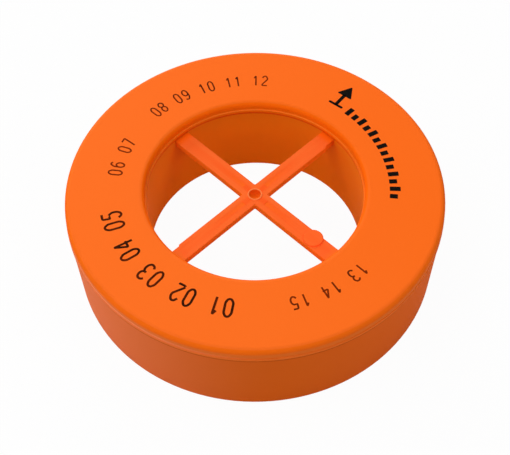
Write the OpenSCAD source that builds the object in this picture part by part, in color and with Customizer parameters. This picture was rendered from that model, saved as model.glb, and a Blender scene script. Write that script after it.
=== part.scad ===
// Ring marker for buried cables. A moulded tray in the form of a ring holds a wound coil
// and its capacitor, a ring-shaped lid is welded on top, and a cross of four spokes,
// moulded with the tray, spans the hole in the middle.
// The marker lies flat on its foot, with its axis on Z.

/* [Housing] */
// Diameter over the bead at the lid's lower edge
outer_d = 120; // [100:1:160]
// Height from the foot to the top face
height = 32; // [26:0.5:48]
// Diameter of the central hole inside the lid's lower bead
hole_d = 69; // [50:1:84]
// Thickness of the tray's outer wall and of its inner tube
wall = 2.2; // [1.8:0.1:3]
// Thickness of the tray's floor
floor_t = 2.4; // [1.6:0.1:4]
// Rounding of the foot's two edges
foot_round = 0.3; // [0.2:0.1:1.5]
// How far the outer wall leans in from rim to foot
outer_draft = 0.5; // [0.2:0.1:1.2]
// How far the hole opens out from rim to foot
hole_draft = 0.7; // [0.2:0.1:1.4]
// How far each side of the cavity closes in from rim to floor
core_draft = 0.4; // [0.2:0.1:0.8]

/* [Lid] */
// Thickness of the lid's top
lid_t = 2.4; // [1.8:0.1:3.5]
// Rounding of the lid's outer top edge
outer_edge_round = 1.8; // [0.5:0.1:2]
// Rounding of the lid's top edge round the hole
inner_edge_round = 1.8; // [0.5:0.1:2]
// Depth of the outer seam below the top face
outer_skirt_h = 4.8; // [4:0.1:8]
// Depth of the seam in the hole below the top face
inner_skirt_h = 4; // [3.6:0.1:8]
// Height of the bead at the outer skirt's lower edge
outer_bead_h = 1; // [0.5:0.1:2]
// Height of the bead at the inner skirt's lower edge
inner_bead_h = 1.2; // [0.5:0.1:2]
// How far the outer bead stands out from its skirt
outer_bead_out = 0.15; // [0.05:0.05:0.4]
// How far the inner bead stands out from its skirt
inner_bead_out = 0.25; // [0.05:0.05:0.4]

/* [Weld joint] */
// How far the tray's outer rim stands inside the lid's bead
outer_rim_set = 0.2; // [0:0.05:0.6]
// How far the tray's rim in the hole stands behind the lid's bead
inner_rim_set = 0.25; // [0:0.05:0.6]
// Depth of the lid's tongues below the seam
tongue_h = 1.8; // [1:0.1:3]
// Thickness of the lid's tongues
tongue_t = 1; // [0.6:0.1:1.2]
// Gap beside a tongue, and below it
tongue_clear = 0.1; // [0.05:0.05:0.2]
// Height of the open groove along the seam
groove_h = 0.25; // [0.1:0.05:0.5]
// Depth of the open groove along the seam
groove_depth = 0.4; // [0.2:0.05:0.5]
// Rounding of the tray's rim below the groove
rim_round = 0.3; // [0.1:0.05:0.5]

/* [Spoke cross] */
// Width of a spoke
spoke_w = 5.7; // [4:0.1:8]
// Thickness of a spoke
spoke_t = 2.6; // [1.6:0.1:4]
// How far the spokes lie below the seam in the hole
spoke_drop = 0.6; // [0.3:0.1:6]
// Rounding of a spoke's upper edges
spoke_top_round = 0.3; // [0.1:0.05:0.5]
// Rounding of a spoke's lower edges
spoke_foot_round = 0.5; // [0.2:0.1:1]
// Rounding of the corners between the spokes
hub_round = 0.6; // [0.2:0.1:2]
// Diameter of the gate ring's crest in the middle of the cross
gate_ring_d = 4.2; // [3:0.1:6]
// Width of the gate ring's half-round bead
gate_bead_w = 0.5; // [0.3:0.1:1]
// Depth of the rounded gate well inside the ring
gate_well_depth = 0.9; // [0.4:0.1:1.4]
// Depth of the sink hollow along each spoke, where it is deepest
sink_depth = 0.14; // [0.05:0.01:0.3]
// Radius of the sink hollow's rounding across the spoke
sink_r = 6; // [3:0.5:12]
// Distance from the axis to the sink hollow's deep end
sink_start = 4.8; // [4.5:0.1:8]
// Distance from the axis to where the sink hollow runs out
sink_end = 20; // [12:0.5:24]
// Depth of the relief in one side of two opposite spokes
relief_depth = 0.55; // [0.2:0.05:1]
// Length of that relief from the hole's wall
relief_l = 4.6; // [2:0.1:8]
// Diameter of the ejector pad on one spoke
pad_d = 6.3; // [5:0.1:8]
// Height of the pad above its spoke
pad_rise = 0.45; // [0.1:0.05:0.6]
// Distance of the pad from the axis along its spoke
pad_at = 25; // [15:0.1:26]
// Distance of the pad from the spoke's centre line
pad_offset = 0.5; // [0:0.1:1.2]

/* [Coil and its seat] */
// Radial width of the winding
coil_w = 6; // [4:0.1:8]
// Height of the winding
coil_h = 5.6; // [4:0.1:10]
// Rounding of the winding's corners
coil_round = 1; // [0.4:0.1:2]
// Gap between the winding and the tray's outer wall
coil_gap = 1; // [0.6:0.1:2]
// Height of the seat ribs above the floor
seat_h = 8; // [6:0.1:9.5]
// Number of seat ribs
rib_count = 12; // [6:2:18]
// Thickness of a seat rib
rib_t = 1.6; // [1.2:0.1:2.4]
// Height of the upstand that locates the winding
upstand_h = 4; // [2:0.1:6]
// Radial thickness of the upstand
upstand_t = 1.6; // [1.2:0.1:2.4]
// Gap between the upstand and the winding
seat_clear = 0.3; // [0.1:0.05:0.6]
// Diameter of the adhesive dab on each upstand
dab_d = 3.6; // [2.4:0.1:4.4]
// Distance of a dab's centre from the winding
dab_inset = 0.9; // [0.4:0.1:1.4]
// Number of tape wraps round the winding, counting the bay that the tails take up
wrap_count = 6; // [4:1:6]
// Width of a tape wrap along the winding
wrap_w = 10; // [6:0.5:12]
// Thickness of the tape
wrap_t = 0.15; // [0.1:0.01:0.3]
// Diameter of the enamelled wire in the two tails
tail_d = 0.6; // [0.3:0.1:0.8]

/* [Capacitor] */
// Width of the capacitor's case, across its leads
case_w = 7.2; // [6:0.1:7.6]
// Thickness of the case as it lies on the floor
case_t = 3.5; // [2.5:0.1:4.5]
// Height of the case, along its leads
case_l = 6.5; // [5:0.1:8]
// Rounding of the case's edges along its leads
case_round = 0.4; // [0.1:0.1:0.8]
// Distance between the two leads
lead_pitch = 5; // [2.5:0.1:5]
// Diameter of a lead
lead_d = 0.6; // [0.4:0.1:0.8]
// Distance from the case to the joints at the leads' ends
lead_l = 4; // [2.5:0.1:5]
// Diameter of a solder joint
joint_d = 1.8; // [1.4:0.1:2.4]
// Outer diameter of the sleeves over the tails
sleeve_d = 1.5; // [1.2:0.1:2]
// Gap between a sleeve and its wire
sleeve_clear = 0.1; // [0.05:0.01:0.15]

/* [Hidden] */
$fn = 96;

lid_colour = "#FB6D22";
tray_colour = "#F2601E";
copper_colour = "#8E3D1C";
tape_colour = "#D9B33A";
adhesive_colour = "#E9E2CF";
case_colour = "#2B5FA6";
lead_colour = "#B9BCBD";
solder_colour = "#9FA2A4";
sleeve_colour = "#2C2C2E";

// Length by which a cutter passes the face that it cuts
over = 1;
// Depth to which one part of a moulding runs into the next
sunk = 0.6;
// Gap left where one small piece lies against another's curved face
touch_gap = 0.02;
// Chamfer between the tray's floor and its walls
floor_chamfer = 0.6;
// Gap between the capacitor's case and the chamfer beside it
case_clear = 0.1;
// How far the case's lead face lies past the middle of its bay
case_face_y = 0.5;

outer_r = outer_d / 2;
hole_r = hole_d / 2;
outer_seam_z = height - outer_skirt_h;
inner_seam_z = height - inner_skirt_h;

skirt_outer_r = outer_r - outer_bead_out;
skirt_inner_r = hole_r + inner_bead_out;
rim_outer_r = outer_r - outer_rim_set;
rim_inner_r = hole_r + inner_rim_set;
foot_outer_r = rim_outer_r - outer_draft;
foot_inner_r = rim_inner_r + hole_draft;
cavity_outer_r = rim_outer_r - wall;
cavity_inner_r = rim_inner_r + wall;
floor_outer_r = cavity_outer_r - core_draft;
floor_inner_r = cavity_inner_r + core_draft;
rebate_w = tongue_t + tongue_clear;
rebate_h = tongue_h + tongue_clear;

spoke_z = inner_seam_z - spoke_drop;
spoke_foot_z = spoke_z - spoke_t;
spoke_reach = rim_inner_r + sunk;

coil_outer_r = floor_outer_r - coil_gap;
coil_inner_r = coil_outer_r - coil_w;
coil_mid_r = coil_outer_r - coil_w / 2;
coil_z = floor_t + seat_h;
upstand_r = coil_inner_r - seat_clear;
upstand_z = coil_z + upstand_h;
bay = 360 / rib_count;

case_mid_r = floor_outer_r - floor_chamfer - case_clear - case_w / 2;
lead_z = floor_t + case_t / 2;
joint_y = case_face_y + lead_l;
tail_pitch = coil_w - 2 * coil_round;

// What a convex corner at the origin loses when it is rounded
module corner_waste(r) {
    difference() {
        square(r + over);
        circle(r);
    }
}

// What a concave corner at the origin gains when it is rounded
module corner_fill(r) {
    difference() {
        translate([-sunk, -sunk]) square(r + sunk);
        translate([r, r]) circle(r);
    }
}

// A flat bar's section, from y = 0 up, with its own rounding above and below
module bar_section(w, t, r_top, r_foot) {
    translate([-w / 2, r_foot]) square([w, t - r_top - r_foot]);
    translate([-w / 2 + r_top, r_foot]) square([w - 2 * r_top, t - r_foot]);
    translate([-w / 2 + r_foot, 0]) square([w - 2 * r_foot, t - r_top]);
    for (side = [-1, 1]) {
        translate([side * (w / 2 - r_foot), r_foot]) circle(r_foot);
        translate([side * (w / 2 - r_top), t - r_top]) circle(r_top);
    }
}

// The tray's ring as a section: outer wall, floor and inner tube, drawn in draft
module tray_section() {
    difference() {
        polygon([
            [foot_inner_r, 0],
            [foot_outer_r, 0],
            [foot_outer_r, foot_round],
            [rim_outer_r, outer_seam_z - groove_h - rim_round],
            [rim_outer_r, outer_seam_z],
            [cavity_outer_r, outer_seam_z],
            [floor_outer_r, floor_t + floor_chamfer],
            [floor_outer_r - floor_chamfer, floor_t],
            [floor_inner_r + floor_chamfer, floor_t],
            [floor_inner_r, floor_t + floor_chamfer],
            [cavity_inner_r, inner_seam_z],
            [rim_inner_r, inner_seam_z],
            [rim_inner_r, inner_seam_z - groove_h - rim_round],
            [foot_inner_r, foot_round]
        ]);
        // Edges of the foot
        translate([foot_outer_r - foot_round, foot_round]) mirror([0, 1]) corner_waste(foot_round);
        translate([foot_inner_r + foot_round, foot_round]) rotate(180) corner_waste(foot_round);
        // Rebates for the lid's tongues
        translate([cavity_outer_r - over, outer_seam_z - rebate_h])
            square([over + rebate_w, rebate_h + over]);
        translate([cavity_inner_r - rebate_w, inner_seam_z - rebate_h])
            square([over + rebate_w, rebate_h + over]);
        // Open groove along each seam, and the rim's rounding below it
        translate([rim_outer_r - groove_depth, outer_seam_z - groove_h])
            square([groove_depth + over, groove_h + over]);
        translate([rim_inner_r - over, inner_seam_z - groove_h])
            square([groove_depth + over, groove_h + over]);
        translate([rim_outer_r - rim_round, outer_seam_z - groove_h - rim_round])
            corner_waste(rim_round);
        translate([rim_inner_r + rim_round, inner_seam_z - groove_h - rim_round])
            mirror([1, 0]) corner_waste(rim_round);
    }
}

// One bar of the cross, from wall to wall along X, with its sink hollows
module cross_bar(relieved) {
    difference() {
        rotate([90, 0, 90]) translate([0, spoke_foot_z, -spoke_reach])
            linear_extrude(2 * spoke_reach)
                bar_section(spoke_w, spoke_t, spoke_top_round, spoke_foot_round);
        for (turn = [0, 180]) rotate(turn) {
            sink_hollow();
            if (relieved) side_relief();
        }
    }
}

// Shallow hollow along a spoke, deepest near the hub, that fades out towards the wall
module sink_hollow() {
    fall = atan(sink_depth / (sink_end - sink_start));
    translate([sink_start, 0, spoke_z - sink_depth + sink_r])
        rotate([0, 90 - fall, 0])
            cylinder(r = sink_r, h = sink_end - sink_start);
}

// Step in a spoke's side where it nears the wall
module side_relief() {
    start = rim_inner_r - relief_l;
    inner_y = -spoke_w / 2 + relief_depth;
    translate([0, 0, spoke_foot_z - over]) linear_extrude(spoke_t + 2 * over) polygon([
        [start, -spoke_w / 2 - over],
        [start, -spoke_w / 2],
        [start + relief_depth, inner_y],
        [spoke_reach + over, inner_y],
        [spoke_reach + over, -spoke_w / 2 - over]
    ]);
}

// Rounded corners where the two bars cross
module hub_corners() {
    translate([0, 0, spoke_foot_z + spoke_foot_round])
        linear_extrude(spoke_t - spoke_foot_round - spoke_top_round)
            for (quarter = [0 : 3]) rotate(90 * quarter)
                translate([spoke_w / 2, spoke_w / 2]) corner_fill(hub_round);
}

// Ejector pad, a low disc that stands a little above its spoke and past its edge
module ejector_pad() {
    translate([pad_at, pad_offset, spoke_foot_z]) rotate_extrude() difference() {
        square([pad_d / 2, spoke_t + pad_rise]);
        translate([pad_d / 2 - spoke_top_round, spoke_t + pad_rise - spoke_top_round])
            corner_waste(spoke_top_round);
    }
}

// The cross with its gate mark: a half-round ring with a rounded well inside it
module spoke_cross() {
    well_r = gate_ring_d / 2 - gate_bead_w / 2;
    ball_r = (well_r * well_r + gate_well_depth * gate_well_depth) / (2 * gate_well_depth);
    difference() {
        union() {
            rotate(45) cross_bar(true);
            rotate(135) cross_bar(false);
            rotate(45) hub_corners();
            rotate(-45) ejector_pad();
            translate([0, 0, spoke_z]) rotate_extrude()
                translate([gate_ring_d / 2, 0]) circle(d = gate_bead_w);
        }
        translate([0, 0, spoke_z - gate_well_depth + ball_r]) sphere(r = ball_r);
    }
}

// Radial rib that carries the winding, with the upstand that keeps it central
module seat_rib() {
    rib_l = floor_outer_r + sunk - (upstand_r - upstand_t);
    translate([upstand_r - upstand_t, -rib_t / 2, floor_t - sunk]) cube([rib_l, rib_t, seat_h + sunk]);
    translate([upstand_r - upstand_t, -rib_t / 2, coil_z - sunk])
        cube([upstand_t, rib_t, upstand_h + sunk]);
}

module tray_housing() {
    color(tray_colour) union() {
        rotate_extrude() tray_section();
        spoke_cross();
        for (i = [0 : rib_count - 1]) rotate(bay * (i + 0.5)) seat_rib();
    }
}

// The lid's ring as a section: top, two skirts with their beads, and two tongues
module lid_section() {
    difference() {
        union() {
            translate([skirt_inner_r, height - lid_t]) square([skirt_outer_r - skirt_inner_r, lid_t]);
            translate([cavity_outer_r, outer_seam_z])
                square([skirt_outer_r - cavity_outer_r, outer_skirt_h]);
            translate([cavity_outer_r, outer_seam_z]) square([outer_r - cavity_outer_r, outer_bead_h]);
            translate([cavity_outer_r, outer_seam_z - tongue_h]) square([tongue_t, tongue_h + sunk]);
            translate([skirt_inner_r, inner_seam_z]) square([cavity_inner_r - skirt_inner_r, inner_skirt_h]);
            translate([hole_r, inner_seam_z]) square([cavity_inner_r - hole_r, inner_bead_h]);
            translate([cavity_inner_r - tongue_t, inner_seam_z - tongue_h])
                square([tongue_t, tongue_h + sunk]);
        }
        translate([skirt_outer_r - outer_edge_round, height - outer_edge_round])
            corner_waste(outer_edge_round);
        translate([skirt_inner_r + inner_edge_round, height - inner_edge_round])
            mirror([1, 0]) corner_waste(inner_edge_round);
    }
}

module lid() {
    color(lid_colour) rotate_extrude() lid_section();
}

// Section of the winding, grown by a skin
module coil_section(skin) {
    translate([coil_mid_r, coil_z - skin])
        bar_section(coil_w + 2 * skin, coil_h + 2 * skin, coil_round + skin, coil_round + skin);
}

// The two tails leave the winding where its underside is still flat
module at_each_tail() {
    for (side = [-1, 1]) translate([coil_mid_r + side * tail_pitch / 2, joint_y, 0]) children();
}

// Bundle of enamelled wire, with its two ends brought down to the capacitor's leads
module coil_winding() {
    color(copper_colour) union() {
        rotate_extrude() coil_section(0);
        at_each_tail() translate([0, 0, lead_z]) cylinder(d = tail_d, h = coil_z + coil_round - lead_z);
    }
}

// Tape wraps that bind the bundle, one in every other bay but the one with the tails
module coil_tape() {
    turn = 360 / wrap_count;
    arc = wrap_w / coil_mid_r * 180 / PI;
    color(tape_colour) for (i = [1 : wrap_count - 1]) rotate(i * turn - arc / 2)
        rotate_extrude(angle = arc) difference() {
            coil_section(wrap_t);
            coil_section(touch_gap);
        }
}

// Dab of hot adhesive on each upstand, against the winding's inner face
module adhesive_dabs() {
    color(adhesive_colour) for (i = [0 : rib_count - 1]) rotate(bay * (i + 0.5)) intersection() {
        translate([coil_inner_r - dab_inset, 0, upstand_z]) sphere(d = dab_d);
        translate([0, 0, upstand_z]) cylinder(r = coil_inner_r - touch_gap, h = dab_d);
    }
}

// Boxed film capacitor, lying on the floor below the winding
module capacitor() {
    color(case_colour) translate([case_mid_r, case_face_y, floor_t]) rotate([90, 0, 0])
        linear_extrude(case_l) bar_section(case_w, case_t, case_round, case_round);
}

// Leads, pinched from the case's pitch to that of the tails
module capacitor_leads() {
    color(lead_colour) difference() {
        for (side = [-1, 1]) {
            start_x = case_mid_r + side * lead_pitch / 2;
            across = coil_mid_r + side * tail_pitch / 2 - start_x;
            end = norm([across, lead_l]) - tail_d / 2 - touch_gap;
            translate([start_x, case_face_y, lead_z]) rotate([-90, 0, -atan(across / lead_l)])
                translate([0, 0, -sunk]) cylinder(d = lead_d, h = sunk + end);
        }
        capacitor();
    }
}

// Ball of solder that closes round the end of each tail and lead
module solder_joints() {
    color(solder_colour) difference() {
        at_each_tail() translate([0, 0, lead_z]) sphere(d = joint_d);
        coil_winding();
        capacitor_leads();
    }
}

// Insulating sleeves over the tails, between the joints and the winding
module tail_sleeves() {
    foot = lead_z + joint_d / 2 + sleeve_clear;
    color(sleeve_colour) at_each_tail() translate([0, 0, foot]) difference() {
        cylinder(d = sleeve_d, h = coil_z - sleeve_clear - foot);
        translate([0, 0, -over]) cylinder(d = tail_d + 2 * sleeve_clear, h = coil_z);
    }
}

tray_housing();
lid();
coil_winding();
coil_tape();
adhesive_dabs();
capacitor();
capacitor_leads();
solder_joints();
tail_sleeves();
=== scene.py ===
# Ring marker for buried cables, put together piece by piece on a pale studio floor.
# Lengths are in metres and angles in degrees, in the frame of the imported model: the ring lies
# flat with its axis on Z, and an angle round it is 0 at +X and 90 at +Y.
import math

import bpy
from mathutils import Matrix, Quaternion, Vector


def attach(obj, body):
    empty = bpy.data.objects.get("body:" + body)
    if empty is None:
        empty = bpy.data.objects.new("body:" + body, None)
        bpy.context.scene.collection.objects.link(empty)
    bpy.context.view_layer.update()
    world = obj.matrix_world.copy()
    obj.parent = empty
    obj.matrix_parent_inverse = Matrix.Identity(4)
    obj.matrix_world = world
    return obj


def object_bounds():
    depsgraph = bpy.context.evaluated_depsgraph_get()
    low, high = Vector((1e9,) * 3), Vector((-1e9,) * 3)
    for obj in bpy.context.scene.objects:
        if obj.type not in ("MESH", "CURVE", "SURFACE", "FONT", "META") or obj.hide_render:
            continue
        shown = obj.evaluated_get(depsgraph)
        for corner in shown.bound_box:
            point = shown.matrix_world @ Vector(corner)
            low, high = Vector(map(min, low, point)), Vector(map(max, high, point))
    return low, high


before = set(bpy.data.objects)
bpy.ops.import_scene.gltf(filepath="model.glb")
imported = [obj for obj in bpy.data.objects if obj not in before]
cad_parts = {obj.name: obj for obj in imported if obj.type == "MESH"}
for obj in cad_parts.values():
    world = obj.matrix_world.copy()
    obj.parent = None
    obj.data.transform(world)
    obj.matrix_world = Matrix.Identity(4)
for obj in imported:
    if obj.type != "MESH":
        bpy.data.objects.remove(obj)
cad_low, cad_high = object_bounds()


# Camera
# It looks down on the marker from the front through a long lens. It stands less than a degree
# off the middle line between two spokes, and is a little tilted.
lens = 72.636
camera_turn = 0.78
camera_lift = 54.051
camera_distance = 0.339197
camera_roll = -0.8615
camera_target = Vector((-0.000105, -0.001897, 0.012))

turn, lift = math.radians(camera_turn), math.radians(camera_lift)
to_camera = Vector((math.sin(turn) * math.cos(lift), -math.cos(turn) * math.cos(lift),
                    math.sin(lift)))
bpy.ops.object.camera_add(location=camera_target + camera_distance * to_camera)
camera = bpy.context.object
camera.name = "camera"
camera.data.lens = lens
camera.rotation_mode = "QUATERNION"
level = (-to_camera).to_track_quat("-Z", "Y")
camera.rotation_quaternion = level @ Quaternion((0, 0, 1), math.radians(camera_roll))
bpy.context.scene.camera = camera


# Tray
# Outer wall, floor, inner tube, seat ribs and the cross of four spokes in one moulding of
# orange polypropylene, from a mould with a fine satin texture. The thin spokes are redder.
# Painted sheen makes the outer wall paler towards -X, and painted light makes it warmer towards
# +X. The tube, the spokes' tops, sides and ends, the gate ring, the well and the seam carry
# painted light and shade as well.
class Reading:
    """An output of a node, to do sums with. Each operator adds one Math node."""

    def __init__(self, finish, socket):
        self.finish = finish
        self.socket = socket

    def sum_of(self, operation, first, second):
        return self.finish.node("ShaderNodeMath", {"operation": operation}, {0: first, 1: second})

    def __add__(self, other):
        return self.sum_of("ADD", self, other)

    def __sub__(self, other):
        return self.sum_of("SUBTRACT", self, other)

    def __rsub__(self, other):
        return self.sum_of("SUBTRACT", other, self)

    def __mul__(self, other):
        return self.sum_of("MULTIPLY", self, other)

    def __abs__(self):
        return self.sum_of("ABSOLUTE", self, None)

    def either(self, other):
        """The larger of two readings."""
        return self.sum_of("MAXIMUM", self, other)

    __radd__ = __add__
    __rmul__ = __mul__


class Finish:
    """The nodes of one material, or of the surround."""

    def __init__(self, holder):
        holder.use_nodes = True
        self.holder = holder
        self.tree = holder.node_tree

    def node(self, kind, settings=None, inputs=None, output=0):
        """Adds a node with its settings and the values or links of its sockets."""
        made = self.tree.nodes.new(kind)
        for name, value in (settings or {}).items():
            setattr(made, name, value)
        for name, value in (inputs or {}).items():
            self.feed(made, name, value)
        return Reading(self, made.outputs[output])

    def feed(self, made, name, value):
        """Sets a socket of a node, or links a reading to it."""
        if isinstance(value, Reading):
            self.tree.links.new(value.socket, made.inputs[name])
        elif value is not None:
            made.inputs[name].default_value = value

    def shade(self, **inputs):
        """Sets or links sockets of the surface shader."""
        for name, value in inputs.items():
            self.feed(self.tree.nodes["Principled BSDF"], name.replace("_", " "), value)

    def place(self):
        """The place on the piece, in its own coordinates."""
        return self.node("ShaderNodeTexCoord", output="Object")

    def along(self, axis):
        """The place along X, Y or Z."""
        return self.node("ShaderNodeSeparateXYZ", {}, {0: self.place()}, output=axis)

    def noise(self, size, detail=2.0, place=None):
        """Soft noise from 0 to 1, with blots of that size."""
        inputs = {"Vector": place or self.place(), "Scale": 1 / size, "Detail": detail}
        return self.node("ShaderNodeTexNoise", {}, inputs)

    def step(self, value, low, high):
        """0 below low, 1 above high, and a smooth step between them."""
        settings = {"interpolation_type": "SMOOTHSTEP"}
        return self.node("ShaderNodeMapRange", settings, {"Value": value, 1: low, 2: high})

    def band(self, value, low, high, soft):
        """1 from low to high and 0 outside, with soft ends."""
        return self.step(value, low - soft, low) - self.step(value, high, high + soft)

    def blend(self, share, first, second):
        """A colour that goes from the first to the second as the share goes from 0 to 1."""
        inputs = {0: share, 6: first, 7: second}
        return self.node("ShaderNodeMix", {"data_type": "RGBA"}, inputs, output=2)

    def bump(self, height, depth):
        """The normal of a surface that stands out by the depth where the height is 1."""
        inputs = {"Height": height, "Distance": depth, "Strength": 1.0}
        return self.node("ShaderNodeBump", {}, inputs)

    def radius(self):
        """The distance from the ring's axis."""
        settings = {"operation": "MULTIPLY"}
        level = self.node("ShaderNodeVectorMath", settings, {0: self.place(), 1: (1.0, 1.0, 0.0)})
        return self.node("ShaderNodeVectorMath", {"operation": "LENGTH"}, {0: level}, output="Value")


def material(name, **constants):
    """A new material with the constants of its shader, as a finish."""
    finish = Finish(bpy.data.materials.new(name))
    finish.shade(**constants)
    return finish


def dress(node, finish):
    """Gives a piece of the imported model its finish."""
    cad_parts[node].material_slots[0].material = finish.holder


plastic_gloss = 0.06
satin_grain, satin_depth = 0.00022, 0.0000012
flow_size, flow_detail, flow_sheen = 0.03, 3.0, 0.06


def moulded_plastic(name, roughness):
    """Satin plastic with a fine grain, without its colour, and its faint flow marks."""
    finish = material(name, Specular_IOR_Level=plastic_gloss)
    flow = finish.noise(flow_size, detail=flow_detail)
    grain = finish.noise(satin_grain)
    finish.shade(Roughness=roughness + flow_sheen * flow, Normal=finish.bump(grain, satin_depth))
    return finish, flow


tray_orange = (0.76, 0.122, 0.002, 1.0)
tray_light_orange = (0.78, 0.127, 0.003, 1.0)
tray_painted_sheen_orange = (0.85, 0.185, 0.056, 1.0)
tray_painted_light_orange = (0.87, 0.136, 0.005, 1.0)
tube_painted_light_orange = (0.96, 0.212, 0.003, 1.0)
tube_foot_painted_shade_orange = (0.88, 0.205, 0.001, 1.0)
spoke_orange = (1.00, 0.100, 0.010, 1.0)
spoke_highlight_and_streak_orange = (1.00, 0.148, 0.023, 1.0)
back_end_lit_orange = (1.00, 0.122, 0.002, 1.0)
front_end_shade_orange = (0.97, 0.172, 0.020, 1.0)
flank_shading_orange = (1.00, 0.190, 0.008, 1.0)
ring_highlight_orange = (1.00, 0.245, 0.065, 1.0)
well_shade_orange = (0.83, 0.110, 0.002, 1.0)
well_deep_shade_orange = (0.78, 0.062, 0.000, 1.0)
seam_shade_brown = (0.60, 0.088, 0.000, 1.0)
inner_seam_shade_brown = (0.88, 0.105, 0.000, 1.0)
tray_roughness = 0.7
hole_radius, hole_soft = 0.0345, 0.0003
tube_radius, tube_soft = 0.0366, 0.0002
tube_low, tube_high = 0.003, 0.026
outer_seam, inner_seam, seam_soft = 0.0264, 0.0273, 0.0002
side_from, side_to = -0.008, 0.060
spoke_top, spoke_rounding = 0.0274, 0.0003
end_from, end_to = 0.0310, 0.0335
ring_low, ring_high, ring_soft = 0.00195, 0.00232, 0.0001
well_radius, well_middle = 0.00182, 0.0012
sink_from, sink_to, sink_share = 0.0004, 0.0022, 0.7
fade_from, fade_to, fade_share = 0.008, 0.022, 0.8
streak_size, streak_draw, streak_skew = 0.0022, 0.12, 0.5
streak_low, streak_high, streak_share = 0.3, 0.7, 0.3

tray_finish, flow = moulded_plastic("moulded_tray", tray_roughness)
from_axis, height = tray_finish.radius(), tray_finish.along("Z")
left_right, front_back = tray_finish.along("X"), tray_finish.along("Y")

# The tops of the spokes have streaks along them. Painted shade deepens their colour in the sink
# hollow down their middles, fading out away from the hub, and painted highlight lightens them
# beside it.
across = abs(left_right) - abs(front_back)
lengthwise = (left_right + streak_skew * front_back) * streak_draw
drawn_out = tray_finish.node("ShaderNodeCombineXYZ", {},
                             {0: across, 1: lengthwise, 2: from_axis * streak_draw})
streak = tray_finish.noise(streak_size, place=drawn_out)
streak = tray_finish.step(streak, streak_low, streak_high)
painted_highlight_beside_sink = tray_finish.step(abs(across), sink_from, sink_to)
painted_shade_fade = fade_share * tray_finish.step(from_axis, fade_from, fade_to)
highlight_and_streak_share = sink_share * painted_highlight_beside_sink.either(painted_shade_fade) + streak_share * streak
spoke_colour = tray_finish.blend(highlight_and_streak_share, spoke_orange, spoke_highlight_and_streak_orange)
# Painted light on the back spokes' ends by the wall, and painted shade on the front ones
backwards = tray_finish.step(front_back, -well_middle, well_middle)
painted_end_colour = tray_finish.blend(backwards, front_end_shade_orange, back_end_lit_orange)
end_light_share = tray_finish.step(from_axis, end_from, end_to)
spoke_colour = tray_finish.blend(end_light_share, spoke_colour, painted_end_colour)

# The gate leaves a ring with a deep well in it, where the spokes cross. A painted highlight
# makes the ring pale.
on_ring = tray_finish.band(from_axis, ring_low, ring_high, ring_soft)
spoke_colour = tray_finish.blend(on_ring, spoke_colour, ring_highlight_orange)
in_well = tray_finish.band(from_axis, 0, well_radius, ring_soft)
# Painted shade darkens the well, most at its back
well_shade_colour = tray_finish.blend(backwards, well_shade_orange, well_deep_shade_orange)
spoke_colour = tray_finish.blend(in_well, spoke_colour, well_shade_colour)
# Painted shading: the spokes' rounded edges and sides take a lighter, yellower copy of their orange
on_top = tray_finish.step(height, spoke_top - spoke_rounding, spoke_top)
spoke_colour = tray_finish.blend(on_top.either(in_well), flank_shading_orange, spoke_colour)

# The outer wall and the tube both take painted shade, a browner tone, in the groove of their seam.
outer_colour = tray_finish.blend(flow, tray_orange, tray_light_orange)
# Painted sheen pales the outer wall towards -X, and painted light warms it towards +X
painted_sheen_leftwards = tray_finish.step(0 - left_right, side_from, side_to)
outer_colour = tray_finish.blend(painted_sheen_leftwards, outer_colour, tray_painted_sheen_orange)
painted_light_rightwards = tray_finish.step(left_right, side_from, side_to)
outer_colour = tray_finish.blend(painted_light_rightwards, outer_colour, tray_painted_light_orange)
seam_shade_share = tray_finish.step(height, outer_seam - seam_soft, outer_seam + seam_soft)
outer_colour = tray_finish.blend(seam_shade_share, outer_colour, seam_shade_brown)
# Painted light: the tube is a lighter copy of the wall's orange, with painted shade darker towards
# its foot
tube_light_share = tray_finish.step(height, tube_low, tube_high)
painted_tube_colour = tray_finish.blend(tube_light_share, tube_foot_painted_shade_orange, tube_painted_light_orange)
seam_shade_share = tray_finish.step(height, inner_seam - seam_soft, inner_seam + seam_soft)
painted_tube_colour = tray_finish.blend(seam_shade_share, painted_tube_colour, inner_seam_shade_brown)
past_tube = tray_finish.step(from_axis, tube_radius - tube_soft, tube_radius)
wall_colour = tray_finish.blend(past_tube, painted_tube_colour, outer_colour)
past_spokes = tray_finish.step(from_axis, hole_radius - hole_soft, hole_radius)
tray_finish.shade(Base_Color=tray_finish.blend(past_spokes, spoke_colour, wall_colour))
dress("tray_housing", tray_finish)


# Coil winding
# About a hundred turns of enamelled copper wire, wound as one bundle that lies on the seat ribs.
# The turns show as fine lines that run round the ring.
enamel_red = (0.40, 0.09, 0.02, 1.0)
enamel_dark = (0.16, 0.03, 0.008, 1.0)
wire_pitch, wire_bulge = 0.0006, 0.00008
drift_size, drift_share = 0.004, 0.3
drift_low, drift_high = 0.2, 0.8

winding_finish = material("enamelled_wire", Roughness=0.28, Metallic=0.75, Coat_Weight=0.4)
wave = {"operation": "SINE"}
outward = winding_finish.radius() * (math.pi / wire_pitch)
upward = winding_finish.along("Z") * (math.pi / wire_pitch)
across = winding_finish.node("ShaderNodeMath", wave, {0: outward})
up = winding_finish.node("ShaderNodeMath", wave, {0: upward})
turns = 0.5 * (abs(across) + abs(up))
drift = drift_share * winding_finish.noise(drift_size)
tone = winding_finish.step(turns + drift, drift_low, drift_high)
winding_finish.shade(Base_Color=winding_finish.blend(tone, enamel_dark, enamel_red),
                     Normal=winding_finish.bump(turns, wire_bulge))
dress("coil_winding", winding_finish)


# Tape wraps
# Five short wraps of amber polyester film tape that hold the bundle of wire together. The
# film is glossy and a little creased.
film_amber = (0.72, 0.42, 0.05, 1.0)
film_pale = (0.80, 0.55, 0.12, 1.0)
crease_size, crease_depth = 0.0015, 0.00004

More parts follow.
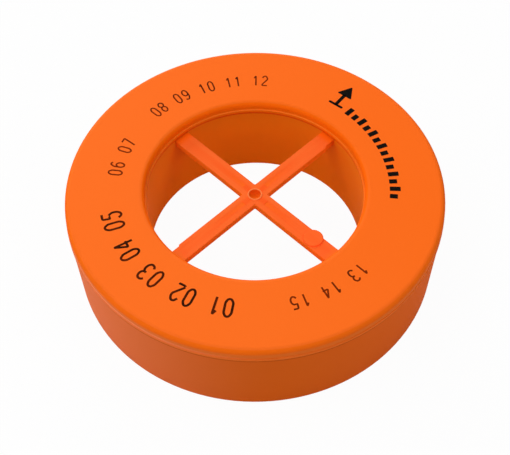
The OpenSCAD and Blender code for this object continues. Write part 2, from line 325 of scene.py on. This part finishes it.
tape_finish = material("film_tape", Roughness=0.22)
crease = tape_finish.noise(crease_size, detail=4.0)
tape_finish.shade(Base_Color=tape_finish.blend(crease, film_amber, film_pale),
                  Normal=tape_finish.bump(crease, crease_depth))
dress("coil_tape", tape_finish)


# Adhesive dabs
# Milky hot-melt adhesive, put down hot between the ribs' upstands and the winding. It holds
# the winding on its seat.
adhesive_milky = (0.78, 0.74, 0.60, 1.0)
adhesive_clear = (0.62, 0.56, 0.40, 1.0)
cloud_size, cloud_depth = 0.0012, 0.00005

adhesive_finish = material("hot_melt_adhesive", Roughness=0.35)
cloud = adhesive_finish.noise(cloud_size, detail=3.0)
adhesive_finish.shade(Base_Color=adhesive_finish.blend(cloud, adhesive_clear, adhesive_milky),
                      Normal=adhesive_finish.bump(cloud, cloud_depth))
dress("adhesive_dabs", adhesive_finish)


# Capacitor
# A film capacitor in a moulded blue box, which tunes the winding. It stands beside the winding
# on the tray's floor.
case_blue = (0.03, 0.12, 0.36, 1.0)
case_light_blue = (0.04, 0.15, 0.42, 1.0)
case_grain_size, case_grain_depth = 0.0003, 0.00001

case_finish = material("capacitor_case", Roughness=0.4)
case_grain = case_finish.noise(case_grain_size)
case_finish.shade(Base_Color=case_finish.blend(case_grain, case_blue, case_light_blue),
                  Normal=case_finish.bump(case_grain, case_grain_depth))
dress("capacitor", case_finish)


# Leads and joints
# The capacitor's two leads are tinned copper wire, pinched together. Each is soldered to one
# of the winding's tails.
tin_grey = (0.50, 0.51, 0.50, 1.0)
tin_bright = (0.66, 0.66, 0.64, 1.0)
tin_dent = 0.00001


def tinned(name, roughness, spot_size):
    """Bright tin with duller spots."""
    finish = material(name, Roughness=roughness, Metallic=1.0)
    spots = finish.noise(spot_size, detail=3.0)
    finish.shade(Base_Color=finish.blend(spots, tin_grey, tin_bright),
                 Normal=finish.bump(spots, tin_dent))
    return finish


dress("capacitor_leads", tinned("tinned_leads", roughness=0.3, spot_size=0.0008))
dress("solder_joints", tinned("solder", roughness=0.2, spot_size=0.0015))


# Sleeves
# Two short sleeves of black insulation, pushed over the winding's tails before they were
# soldered.
sleeve_black = (0.018, 0.018, 0.020, 1.0)
sleeve_worn = (0.035, 0.035, 0.038, 1.0)
scuff_size, scuff_depth = 0.0006, 0.00001

sleeve_finish = material("insulating_sleeve", Roughness=0.55)
scuff = sleeve_finish.noise(scuff_size, detail=4.0)
sleeve_finish.shade(Base_Color=sleeve_finish.blend(scuff, sleeve_black, sleeve_worn),
                    Normal=sleeve_finish.bump(scuff, scuff_depth))
dress("tail_sleeves", sleeve_finish)


# Lid
# Ring-shaped cover with two short skirts, moulded in the same satin orange as the tray and
# welded to it. Painted light makes its flat top a shade lighter than its outer skirt, and
# painted sheen makes the outer skirt paler towards -X. Its rounded edges, lip, bead and skirts
# carry painted light and shade as well.
lid_orange = (1.00, 0.150, 0.007, 1.0)
lid_lit_and_flow_orange = (1.00, 0.164, 0.014, 1.0)
lid_edge_shade_orange = (0.96, 0.148, 0.003, 1.0)
lid_skirt_shade_orange = (0.90, 0.168, 0.014, 1.0)
lid_painted_sheen_orange = (0.87, 0.185, 0.042, 1.0)
lid_lip_highlight_orange = (1.00, 0.290, 0.120, 1.0)
lid_hole_edge_shade_orange = (1.00, 0.142, 0.000, 1.0)
lid_hole_skirt_lit_orange = (1.00, 0.175, 0.000, 1.0)
lid_bead_highlight_orange = (1.00, 0.235, 0.016, 1.0)
lid_roughness = 0.65
lid_flat, flat_soft = 0.0318, 0.0001
lid_edge, edge_soft = 0.0303, 0.0004
lip_low, lip_high, lip_soft = 0.0283, 0.0289, 0.0003
bead_low, bead_high, bead_soft = 0.0290, 0.0295, 0.0002
bead_foot, foot_soft = 0.0282, 0.0001
hole_edge, hole_edge_soft = 0.0400, 0.0001
lean_left, lean_front, lean_reach = 0.8, 0.6, 0.05
painted_light_share, flow_share = 0.7, 0.3

lid_finish, flow = moulded_plastic("moulded_lid", lid_roughness)
height, left_right = lid_finish.along("Z"), lid_finish.along("X")
# Painted shade, a deeper orange, on the rounded edges at the top of both skirts
edge_shade_share = lid_finish.step(height, lid_edge - edge_soft, lid_edge + edge_soft)

# The outer skirt, in painted shade darker than the top, with painted sheen towards -X and a
# painted highlight along the thin lip over its seam
painted_sheen_leftwards = lid_finish.step(0 - left_right, side_from, side_to)
outer_colour = lid_finish.blend(painted_sheen_leftwards, lid_skirt_shade_orange, lid_painted_sheen_orange)
on_lip = lid_finish.band(height, lip_low, lip_high, lip_soft)
outer_colour = lid_finish.blend(painted_sheen_leftwards * on_lip, outer_colour, lid_lip_highlight_orange)
outer_colour = lid_finish.blend(edge_shade_share, outer_colour, lid_edge_shade_orange)

# The skirt in the hole, in painted light lighter than the outer skirt, with a painted highlight
# along its bead over the seam
on_bead = lid_finish.band(height, bead_low, bead_high, bead_soft)
hole_colour = lid_finish.blend(on_bead, lid_hole_skirt_lit_orange, lid_bead_highlight_orange)
hole_colour = lid_finish.blend(edge_shade_share, hole_colour, lid_hole_edge_shade_orange)
# Painted shade, the seam's brown, under the bead's foot in the seam groove
on_foot = lid_finish.step(height, bead_foot, bead_foot + foot_soft)
hole_colour = lid_finish.blend(on_foot, inner_seam_shade_brown, hole_colour)
in_hole = lid_finish.band(lid_finish.radius(), 0, hole_edge, hole_edge_soft)
side_colour = lid_finish.blend(in_hole, outer_colour, hole_colour)

# The flat top, with painted light that makes it a touch lighter towards the front left
lean = -lean_left * left_right - lean_front * lid_finish.along("Y")
painted_light_front_left = lid_finish.step(lean, -lean_reach, lean_reach)
top_colour = lid_finish.blend(painted_light_share * painted_light_front_left + flow_share * flow, lid_orange,
                              lid_lit_and_flow_orange)
on_flat = lid_finish.step(height, lid_flat - flat_soft, lid_flat)
lid_finish.shade(Base_Color=lid_finish.blend(on_flat, side_colour, top_colour))
dress("lid", lid_finish)


# Laser marks
# Rows of plain running numbers burnt into the lid's top by a laser. The plastic is charred to
# a dark brown and stands a hair proud. Each row reads clockwise, with its tops outwards.
lid_top = cad_high[2]
mark_proud = 0.00004
mark_roughness, mark_gloss = 0.9, 0.05
char_dark = (0.030, 0.007, 0.001, 1.0)
char_brown = (0.100, 0.013, 0.001, 1.0)
char_light_brown = (0.20, 0.020, 0.000, 1.0)
char_low, char_high = 0.35, 0.65
char_grain, char_depth = 0.0002, 0.00001
corner_share, corner_steps = 0.55, 3
closing_share, cleaning_share = 0.1, 0.025
weld_distance = 0.000002

# The strokes of each digit, on a grid that starts at its foot
grid_wide, grid_tall = 4, 6
digit_points = {
    "0": [((0, 1.2), (0, 4.8), (1.2, 6), (2.8, 6), (4, 4.8), (4, 1.2), (2.8, 0), (1.2, 0), (0, 1.2))],
    "1": [((0.8, 4.6), (2.2, 6), (2.2, 0))],
    "2": [((0, 4.8), (1.2, 6), (2.8, 6), (4, 4.8), (4, 3.8), (0, 0.6), (0, 0), (4, 0))],
    "3": [((0, 5.2), (1, 6), (3, 6), (4, 5), (4, 4), (3, 3.2), (1.6, 3.2)),
          ((3, 3.2), (4, 2.3), (4, 1), (3, 0), (1, 0), (0, 0.8))],
    "4": [((3, 0), (3, 6), (0, 2), (4, 2))],
    "5": [((3.8, 6), (0.4, 6), (0.2, 3.5), (1.4, 3.8), (2.8, 3.8), (4, 2.8), (4, 1.2), (2.8, 0),
           (1.2, 0), (0, 1))],
    "6": [((3.6, 5.4), (2.8, 6), (1.4, 6), (0, 4.4), (0, 1.2), (1.2, 0), (2.8, 0), (4, 1.2),
           (4, 2.4), (2.8, 3.6), (1.2, 3.6), (0, 2.6))],
    "7": [((0, 6), (4, 6), (1.4, 0))],
    "8": [((1.2, 3.2), (0, 4.2), (0, 5), (1.2, 6), (2.8, 6), (4, 5), (4, 4.2), (2.8, 3.2),
           (1.2, 3.2), (0, 2.2), (0, 1.1), (1.2, 0), (2.8, 0), (4, 1.1), (4, 2.2), (2.8, 3.2))],
    "9": [((0.4, 0.6), (1.2, 0), (2.6, 0), (4, 1.6), (4, 4.8), (2.8, 6), (1.2, 6), (0, 4.8),
           (0, 3.6), (1.2, 2.4), (2.8, 2.4), (4, 3.4))],
}


def pick(*objects):
    """Selects these objects alone. The last one is active."""
    bpy.ops.object.select_all(action="DESELECT")
    for each in objects:
        each.select_set(True)
    bpy.context.view_layer.objects.active = objects[-1]


def draw_stroke(points, line):
    """A line of round section through the points, drawn out point by point from one corner."""
    bpy.ops.object.select_all(action="DESELECT")
    bpy.ops.mesh.primitive_plane_add(size=line)
    bpy.ops.object.mode_set(mode="EDIT")
    bpy.ops.mesh.merge(type="CENTER")
    bpy.ops.transform.translate(value=points[0])
    for here, there in zip(points, points[1:]):
        bpy.ops.mesh.extrude_vertices_move(TRANSFORM_OT_translate={"value": there - here})
    bpy.ops.mesh.select_all(action="SELECT")
    bpy.ops.mesh.remove_doubles(threshold=line * closing_share)
    bpy.ops.mesh.bevel(offset=line * corner_share, segments=corner_steps, affect="VERTICES")
    bpy.ops.mesh.remove_doubles(threshold=line * cleaning_share)
    bpy.ops.object.mode_set(mode="OBJECT")
    bpy.ops.object.convert(target="CURVE")
    drawn = bpy.context.object
    drawn.data.bevel_depth = line / 2
    drawn.data.bevel_resolution = 2
    drawn.data.use_fill_caps = True
    bpy.ops.object.convert(target="MESH")
    return bpy.context.object


def join(objects, name):
    """Joins the pieces into one mesh, with the object at the origin and closed seams."""
    pick(*objects)
    if len(objects) > 1:
        bpy.ops.object.join()
    joined = bpy.context.object
    joined.name = name
    joined.data.name = name
    bpy.ops.object.transform_apply(location=True, rotation=True, scale=True)
    bpy.ops.object.mode_set(mode="EDIT")
    bpy.ops.mesh.select_all(action="SELECT")
    bpy.ops.mesh.remove_doubles(threshold=weld_distance)
    bpy.ops.mesh.normals_make_consistent(inside=False)
    bpy.ops.object.mode_set(mode="OBJECT")
    return joined


def copy_to(model, radius, angle):
    """A copy of a mark with its own mesh, at a place on the lid, with its top outwards."""
    pick(model)
    bpy.ops.object.duplicate()
    copy = bpy.context.object
    around = math.radians(angle)
    copy.location = (radius * math.cos(around), radius * math.sin(around), lid_top)
    copy.rotation_euler = (0, 0, around - math.pi / 2)
    return copy


def mark_row(name, text, start, pitch, foot_radius, wide, tall, line, finish):
    """One row of digits on the lid, from the start angle on clockwise."""
    unit_x, unit_y = (wide - line) / grid_wide, (tall - line) / grid_tall
    models = {}
    for digit in sorted(set(text) - {" "}):
        strokes = []
        for points in digit_points[digit]:
            spots = [Vector(((x - grid_wide / 2) * unit_x, y * unit_y + line / 2, 0))
                     for x, y in points]
            strokes.append(draw_stroke(spots, line))
        drawn = join(strokes, name + "_model_" + digit)
        drawn.scale = (1, 1, 2 * mark_proud / line)
        models[digit] = drawn
    copies = []
    for place, digit in enumerate(text):
        if digit != " ":
            copies.append(copy_to(models[digit], foot_radius, start - place * pitch))
    row = join(copies, name)
    for model in models.values():
        bpy.data.objects.remove(model)
    row.data.materials.clear()
    row.data.materials.append(finish.holder)
    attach(row, "root")


def charred(name, dark, light, blot_size):
    """Charred plastic whose tone changes along the row."""
    finish = material(name, Roughness=mark_roughness, Specular_IOR_Level=mark_gloss)
    tone = finish.step(finish.noise(blot_size, detail=3.0), char_low, char_high)
    grain = finish.noise(char_grain)
    finish.shade(Base_Color=finish.blend(tone, dark, light),
                 Normal=finish.bump(grain, char_depth))
    return finish


deep_char = charred("deep_laser_mark", char_dark, char_brown, blot_size=0.006)
light_char = charred("light_laser_mark", char_brown, char_light_brown, blot_size=0.009)
mark_row("mark_row_1", "01 02 03 04 05", start=260.5, pitch=5.05, foot_radius=0.0423,
         wide=0.0031, tall=0.0068, line=0.00078, finish=deep_char)
mark_row("mark_row_2", "06 07", start=173.0, pitch=4.2, foot_radius=0.0423,
         wide=0.0023, tall=0.0049, line=0.00055, finish=light_char)
mark_row("mark_row_3", "08 09 10 11 12", start=136.5, pitch=3.9, foot_radius=0.0430,
         wide=0.0022, tall=0.0049, line=0.00052, finish=light_char)
mark_row("mark_row_4", "13 14 15", start=-45.0, pitch=4.3, foot_radius=0.0426,
         wide=0.0023, tall=0.0048, line=0.00056, finish=light_char)


# Printed scale
# A plain scale of short and tall ticks with a pointer at its head, pad printed on the lid's top
# in black ink, which is a little worn.
print_black = (0.004, 0.003, 0.002, 1.0)
print_worn = (0.010, 0.008, 0.006, 1.0)
print_proud = 0.00003
wear_size, wear_depth = 0.0008, 0.000005
wear_low, wear_high = 0.45, 0.75
scale_radius = 0.0424
scale_start, scale_end = 44.5, -6.0
scale_ticks = 14
tick_wide, tick_tall, tick_short = 0.0017, 0.0034, 0.0025
pointer_angle = 51.8
pointer_foot, pointer_tip, pointer_head = 0.0432, 0.0535, 0.0050
pointer_wide, pointer_shaft, pointer_base = 0.0056, 0.0012, 0.0009
triangle_middle = 0.25
rounding_part, rounding_steps = 12, 2

print_finish = material("black_print", Roughness=mark_roughness, Specular_IOR_Level=mark_gloss)
wear = print_finish.step(print_finish.noise(wear_size, detail=4.0), wear_low, wear_high)
print_finish.shade(Base_Color=print_finish.blend(wear, print_black, print_worn),
                   Normal=print_finish.bump(wear, wear_depth))


def print_patch(corners, low, high, wide):
    """A flat patch of print from low to high: a plane or a triangle, thick and with rounded
    corners. It is resized about the middle of its box, which on a triangle is off its centre."""
    bpy.ops.object.select_all(action="DESELECT")
    if corners == 4:
        bpy.ops.mesh.primitive_plane_add(size=1)
        middle = 0
    else:
        bpy.ops.mesh.primitive_circle_add(vertices=corners, radius=1, fill_type="NGON")
        middle = triangle_middle
    patch = bpy.context.object
    size = Vector(patch.dimensions)
    bpy.ops.object.mode_set(mode="EDIT")
    bpy.ops.transform.resize(value=(wide / size.x, (high - low) / size.y, 1))
    bpy.ops.transform.translate(value=(0, (low + high) / 2 - middle, -print_proud))
    bpy.ops.mesh.bevel(offset=wide / rounding_part, segments=rounding_steps,
                       affect="VERTICES")
    bpy.ops.mesh.extrude_region_move(TRANSFORM_OT_translate={"value": (0, 0, 2 * print_proud)})
    bpy.ops.object.mode_set(mode="OBJECT")
    return join([patch], "patch")


tall_tick = print_patch(4, 0, tick_tall, tick_wide)
short_tick = print_patch(4, 0, tick_short, tick_wide)
ticks = []
for count in range(scale_ticks):
    angle = scale_start + (scale_end - scale_start) * count / (scale_ticks - 1)
    ticks.append(copy_to((tall_tick, short_tick)[count % 2], scale_radius, angle))
scale = join(ticks, "printed_scale")
neck = pointer_tip - pointer_foot - pointer_head
parts = [print_patch(4, 0, pointer_base, pointer_wide),
         print_patch(4, pointer_base / 2, neck + pointer_base / 2, pointer_shaft),
         print_patch(3, neck, pointer_tip - pointer_foot, pointer_wide)]
pointer = join([copy_to(part, pointer_foot, pointer_angle) for part in parts], "printed_pointer")
for model in (tall_tick, short_tick, *parts):
    bpy.data.objects.remove(model)
for piece in (scale, pointer):
    piece.data.materials.append(print_finish.holder)
    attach(piece, "root")


# Studio
# A pale floor, white where it is seen, under a pale surround, and large soft lamps at a plain
# level. The floor keeps a soft trace of the marker's shadow.
lamp_distance = 1.2


def lamp(name, angle, height_angle, size, watts):
    """A square soft lamp that faces the marker."""
    around, lift = math.radians(angle), math.radians(height_angle)
    place = Vector((math.cos(around) * math.cos(lift), math.sin(around) * math.cos(lift),
                    math.sin(lift)))
    bpy.ops.object.light_add(type="AREA", location=lamp_distance * place)
    made = bpy.context.object
    made.name = name
    made.data.size = size
    made.data.energy = watts
    made.rotation_mode = "QUATERNION"
    made.rotation_quaternion = (-place).to_track_quat("-Z", "Y")


lamp("lamp_right", angle=0, height_angle=62, size=0.8, watts=3.0)
lamp("lamp_left", angle=180, height_angle=62, size=0.8, watts=5.3)
lamp("lamp_front_left", angle=225, height_angle=38, size=0.7, watts=2.3)
lamp("lamp_front_right", angle=315, height_angle=38, size=0.7, watts=2.5)
lamp("lamp_low_back", angle=102, height_angle=18, size=0.6, watts=8.3)
lamp("lamp_low_left", angle=180, height_angle=18, size=0.6, watts=2.3)

white = (1.0, 1.0, 1.0, 1.0)
surround_level, surround_seen = 0.125, 0.4
floor_grey = (0.8, 0.8, 0.8, 1.0)
floor_width = 8.0
floor_glow, glow_share = 1.0, 0.96


def seen_or_mirrored(finish):
    """1 for rays from the camera and for those off gloss or through glass, and 0 for others."""
    whole = finish.node("ShaderNodeLightPath", output="Is Camera Ray")
    for name in ("Is Glossy Ray", "Is Transmission Ray"):
        ray = finish.node("ShaderNodeLightPath", output=name)
        whole = whole.either(ray)
    return whole


surround = Finish(bpy.data.worlds.new("surround"))
light = surround.node("ShaderNodeBackground", {"name": "surround_light"},
                      {"Color": white, "Strength": surround_level})
seen = surround.node("ShaderNodeBackground", {}, {"Color": white, "Strength": surround_seen})
sky = surround.node("ShaderNodeMixShader", {}, {0: seen_or_mirrored(surround), 1: light, 2: seen})
surround.feed(surround.tree.nodes["World Output"], "Surface", sky)
bpy.context.scene.world = surround.holder

floor_finish = Finish(bpy.data.materials.new("pale_floor"))
matt = floor_finish.node("ShaderNodeBsdfDiffuse", {}, {"Color": floor_grey})
glow = floor_finish.node("ShaderNodeEmission", {}, {"Color": white, "Strength": floor_glow})
sheet = floor_finish.node("ShaderNodeMixShader", {},
                          {0: seen_or_mirrored(floor_finish) * glow_share, 1: matt, 2: glow})
floor_finish.feed(floor_finish.tree.nodes["Material Output"], "Surface", sheet)
bpy.ops.object.select_all(action="DESELECT")
bpy.ops.mesh.primitive_plane_add(size=floor_width)
floor = bpy.context.object
floor.name = "floor"
floor.data.materials.append(floor_finish.holder)

bpy.context.scene.view_settings.view_transform = "Standard"
